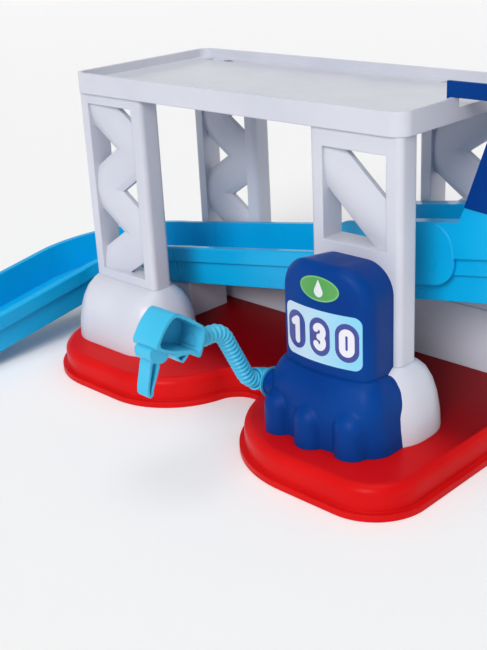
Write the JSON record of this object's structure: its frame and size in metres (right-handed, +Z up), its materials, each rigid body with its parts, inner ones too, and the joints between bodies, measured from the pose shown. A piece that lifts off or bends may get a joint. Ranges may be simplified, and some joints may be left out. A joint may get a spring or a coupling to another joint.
{
  "type": "toy race track",
  "caption": "Toy car track storey: lobed base with lattice towers and a deck, drop chute, sloping track with curved exit ramp, and a toy fuel pump with a hinged ribbed hose and nozzle.",
  "frame": {"origin": "on the table under the middle of the base, at the centre of its middle foot", "axes": "+Z up; the fuel pump faces -Y; +X to the right of someone who looks at the pump"},
  "size_m": [0.443, 0.293, 0.223],
  "materials": {
    "red_shell": "glossy moulded red shell",
    "white_plastic": "cool white moulded plastic",
    "track_blue": "light blue moulded plastic",
    "dark_blue": "dark blue moulded plastic",
    "badge_green": "printed oval label",
    "display_film": "printed film label",
    "hose_blue": "satin light blue plastic",
    "steel": "plated steel screws"
  },
  "bodies": {
    "frame": {"base_plate": "red_shell", "bell_foot_left": "white_plastic", "bell_foot_right": "white_plastic", "rear_plinth": "white_plastic", "tower_front_left": "white_plastic", "tower_front_right": "white_plastic", "tower_rear_left": "white_plastic", "tower_rear_right": "white_plastic", "upper_deck": "white_plastic", "centre_track": "track_blue", "track_leg": "white_plastic", "exit_ramp": "track_blue", "landing": "track_blue", "drop_chute": "dark_blue", "pump_shell": "dark_blue", "pump_back": "dark_blue", "pump_badge": "badge_green", "pump_display": "display_film", "base_screws": "steel", "deck_screws": "steel", "pump_screws": "steel", "track_screws": "steel"},
    "fuel_arm": {"hose_hub": "hose_blue", "fuel_hose": "hose_blue", "nozzle": "hose_blue", "pivot_washer": "steel", "pivot_screw": "steel"}
  },
  "joints": [
    {"name": "hose_swing", "type": "hinge", "parent": "frame", "child": "fuel_arm", "pos_m": [0.0556, -0.073, 0.0435], "axis": [-1, 0, 0], "range_deg": [-38, 60]}
  ]
}
